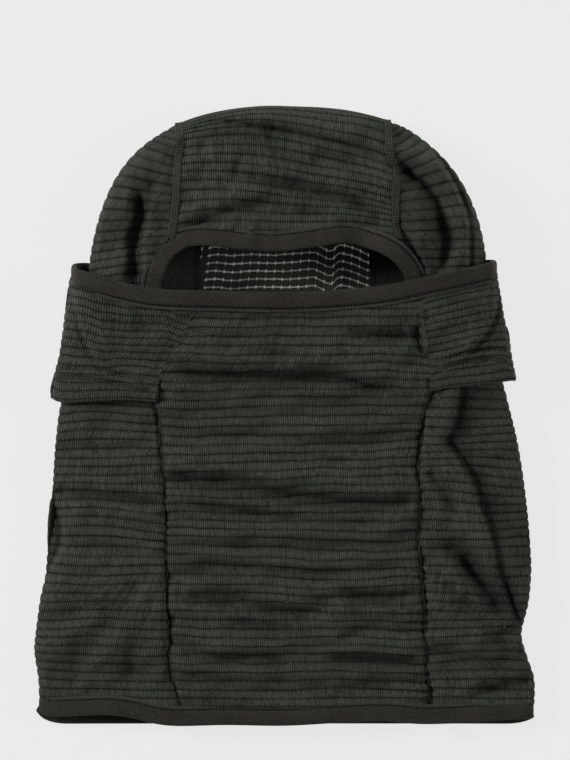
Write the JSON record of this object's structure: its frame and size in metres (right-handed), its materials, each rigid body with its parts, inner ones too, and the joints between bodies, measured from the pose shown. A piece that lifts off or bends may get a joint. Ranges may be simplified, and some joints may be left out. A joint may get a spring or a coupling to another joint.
{
  "type": "hinged balaclava",
  "caption": "Close-fitting knit ski balaclava laid flat on its back: rounded hood with a face opening and a ruched face mask that pulls down over the neck.",
  "frame": {"origin": "centre of the footprint, on the floor that the back lies on", "axes": "+Y towards the crown, +Z out of the front of the face, +X to the wearer's left, which is the viewer's right"},
  "size_m": [0.3, 0.372, 0.0459],
  "materials": {
    "grid_fleece": "dark forest green-grey grid-back knit fleece, matt with a faint sheen",
    "binding_knit": "charcoal-brown smooth stretch knit binding, matt",
    "stitch_thread": "dark polyester thread, slight sheen",
    "clear_elastic": "translucent elastic tape",
    "label_cloth": "plain satin label tape, blank"
  },
  "bodies": {
    "garment": {"crown_back_panel": "grid_fleece", "hood_side_left": "grid_fleece", "hood_side_right": "grid_fleece", "crown_seam_left": "stitch_thread", "crown_seam_right": "stitch_thread", "opening_binding": "binding_knit", "opening_coverstitch": "stitch_thread", "hinge_seam": "stitch_thread", "neck_front_panel": "grid_fleece", "neck_side_left": "grid_fleece", "neck_side_right": "grid_fleece", "neck_back_panel": "grid_fleece", "ruched_seam_left": "stitch_thread", "ruched_seam_right": "stitch_thread", "back_seam_left": "stitch_thread", "back_seam_right": "stitch_thread", "ruche_elastic_left": "clear_elastic", "ruche_elastic_right": "clear_elastic", "hem_binding": "binding_knit", "hem_coverstitch": "stitch_thread", "care_label": "label_cloth"},
    "mask": {"mask_binding": "binding_knit", "mask_coverstitch": "stitch_thread", "mask_front_panel": "grid_fleece", "mask_wing_left": "grid_fleece", "mask_wing_right": "grid_fleece", "wing_seam_left": "stitch_thread", "wing_seam_right": "stitch_thread"}
  },
  "joints": [
    {"name": "mask_pull_down", "type": "slide", "parent": "garment", "child": "mask", "axis": [0, -1, 0], "range_m": [0, 0.055]}
  ]
}
